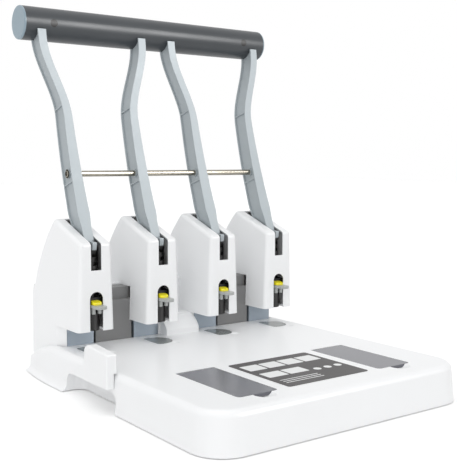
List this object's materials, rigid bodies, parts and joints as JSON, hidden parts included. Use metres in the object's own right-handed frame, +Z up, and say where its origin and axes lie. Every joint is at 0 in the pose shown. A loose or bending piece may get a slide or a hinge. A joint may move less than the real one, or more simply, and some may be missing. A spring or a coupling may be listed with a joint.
{
  "type": "heavy-duty paper hole punch",
  "caption": "Desk-standing lever hole punch: a tubular handle on bent cast arms drives punches in white towers over a broad paper deck with storage lids and a side guide.",
  "frame": {"origin": "on the table, at the middle of the machine's footprint", "axes": "+X to the operator's right, +Y from the paper deck towards the towers at the rear, +Z up"},
  "size_m": [0.318, 0.369, 0.3943],
  "materials": {
    "white_abs": "satin moulded",
    "cast_arm": "die-cast, lacquered silver-grey",
    "cam_steel": "hardened and blackened",
    "handle_paint": "satin powder coat",
    "cap_plastic": "fine moulded texture",
    "rod_steel": "drawn stainless bar",
    "frame_steel": "zinc plated sheet",
    "panel_plastic": "fine moulded texture",
    "lid_plastic": "fine moulded texture",
    "label_film": "printed film",
    "disc_plastic": "polished",
    "black_plastic": "moulded",
    "latch_plastic": "moulded",
    "mark_plastic": "moulded",
    "tool_steel": "ground",
    "base_steel": "black lacquer",
    "foot_rubber": "matt"
  },
  "bodies": {
    "base": {"deck_housing": "white_abs", "rear_housing": "white_abs", "base_plate": "base_steel", "rubber_feet": "foot_rubber", "base_screws": "frame_steel", "label_plate": "label_film", "inner_panel_left": "panel_plastic", "inner_panel_right": "panel_plastic", "press_frame_1": "frame_steel", "guide_sleeve_1": "black_plastic", "pivot_pin_1": "tool_steel", "cutting_disc_1": "disc_plastic", "return_spring_1": "tool_steel", "press_frame_2": "frame_steel", "guide_sleeve_2": "black_plastic", "pivot_pin_2": "tool_steel", "cutting_disc_2": "disc_plastic", "return_spring_2": "tool_steel", "press_frame_3": "frame_steel", "guide_sleeve_3": "black_plastic", "pivot_pin_3": "tool_steel", "cutting_disc_3": "disc_plastic", "return_spring_3": "tool_steel", "press_frame_4": "frame_steel", "guide_sleeve_4": "black_plastic", "pivot_pin_4": "tool_steel", "cutting_disc_4": "disc_plastic", "return_spring_4": "tool_steel"},
    "lever": {"lever_arm_1": "cast_arm", "lever_arm_2": "cast_arm", "lever_arm_3": "cast_arm", "lever_arm_4": "cast_arm", "lever_cam_1": "cam_steel", "lever_cam_2": "cam_steel", "lever_cam_3": "cam_steel", "lever_cam_4": "cam_steel", "handle_tube": "handle_paint", "handle_plugs": "black_plastic", "handle_cap_left": "cap_plastic", "handle_cap_right": "cap_plastic", "cross_rod": "rod_steel", "rod_rivets": "rod_steel"},
    "punch_1": {"punch_pin_1": "tool_steel"},
    "punch_2": {"punch_pin_2": "tool_steel"},
    "punch_3": {"punch_pin_3": "tool_steel"},
    "punch_4": {"punch_pin_4": "tool_steel"},
    "latch_1": {"latch_1": "latch_plastic", "latch_mark_1": "mark_plastic"},
    "latch_2": {"latch_2": "latch_plastic", "latch_mark_2": "mark_plastic"},
    "latch_3": {"latch_3": "latch_plastic", "latch_mark_3": "mark_plastic"},
    "latch_4": {"latch_4": "latch_plastic", "latch_mark_4": "mark_plastic"},
    "lid_left": {"storage_lid_left": "lid_plastic"},
    "lid_right": {"storage_lid_right": "lid_plastic"},
    "guide": {"side_guide": "white_abs"}
  },
  "joints": [
    {"name": "lever_swing", "type": "hinge", "parent": "base", "child": "lever", "pos_m": [0, 0.08956, 0.1355], "axis": [1, 0, 0], "range_deg": [0, 95]},
    {"name": "punch_1_slide", "type": "slide", "parent": "base", "child": "punch_1", "axis": [0, 0, -1], "range_m": [0, 0.02], "deforming": ["return_spring_1"]},
    {"name": "punch_2_slide", "type": "slide", "parent": "base", "child": "punch_2", "axis": [0, 0, -1], "range_m": [0, 0.02], "deforming": ["return_spring_2"]},
    {"name": "punch_3_slide", "type": "slide", "parent": "base", "child": "punch_3", "axis": [0, 0, -1], "range_m": [0, 0.02], "deforming": ["return_spring_3"]},
    {"name": "punch_4_slide", "type": "slide", "parent": "base", "child": "punch_4", "axis": [0, 0, -1], "range_m": [0, 0.02], "deforming": ["return_spring_4"]},
    {"name": "latch_1_slide", "type": "slide", "parent": "base", "child": "latch_1", "axis": [0, -1, 0], "range_m": [0, 0.008]},
    {"name": "latch_2_slide", "type": "slide", "parent": "base", "child": "latch_2", "axis": [0, -1, 0], "range_m": [0, 0.008]},
    {"name": "latch_3_slide", "type": "slide", "parent": "base", "child": "latch_3", "axis": [0, -1, 0], "range_m": [0, 0.008]},
    {"name": "latch_4_slide", "type": "slide", "parent": "base", "child": "latch_4", "axis": [0, -1, 0], "range_m": [0, 0.008]},
    {"name": "lid_left_hinge", "type": "hinge", "parent": "base", "child": "lid_left", "pos_m": [0, -0.0575, 0.0365], "axis": [-1, 0, 0], "range_deg": [0, 90]},
    {"name": "lid_right_hinge", "type": "hinge", "parent": "base", "child": "lid_right", "pos_m": [0, -0.0575, 0.0365], "axis": [-1, 0, 0], "range_deg": [0, 90]},
    {"name": "guide_slide", "type": "slide", "parent": "base", "child": "guide", "axis": [-1, 0, 0], "range_m": [0, 0.03]}
  ],
  "couplings": [
    {"joint": "punch_1_slide", "follows": "lever_swing", "m_per_rad": 0.012062},
    {"joint": "punch_2_slide", "follows": "lever_swing", "m_per_rad": 0.012062},
    {"joint": "punch_3_slide", "follows": "lever_swing", "m_per_rad": 0.012062},
    {"joint": "punch_4_slide", "follows": "lever_swing", "m_per_rad": 0.012062}
  ]
}
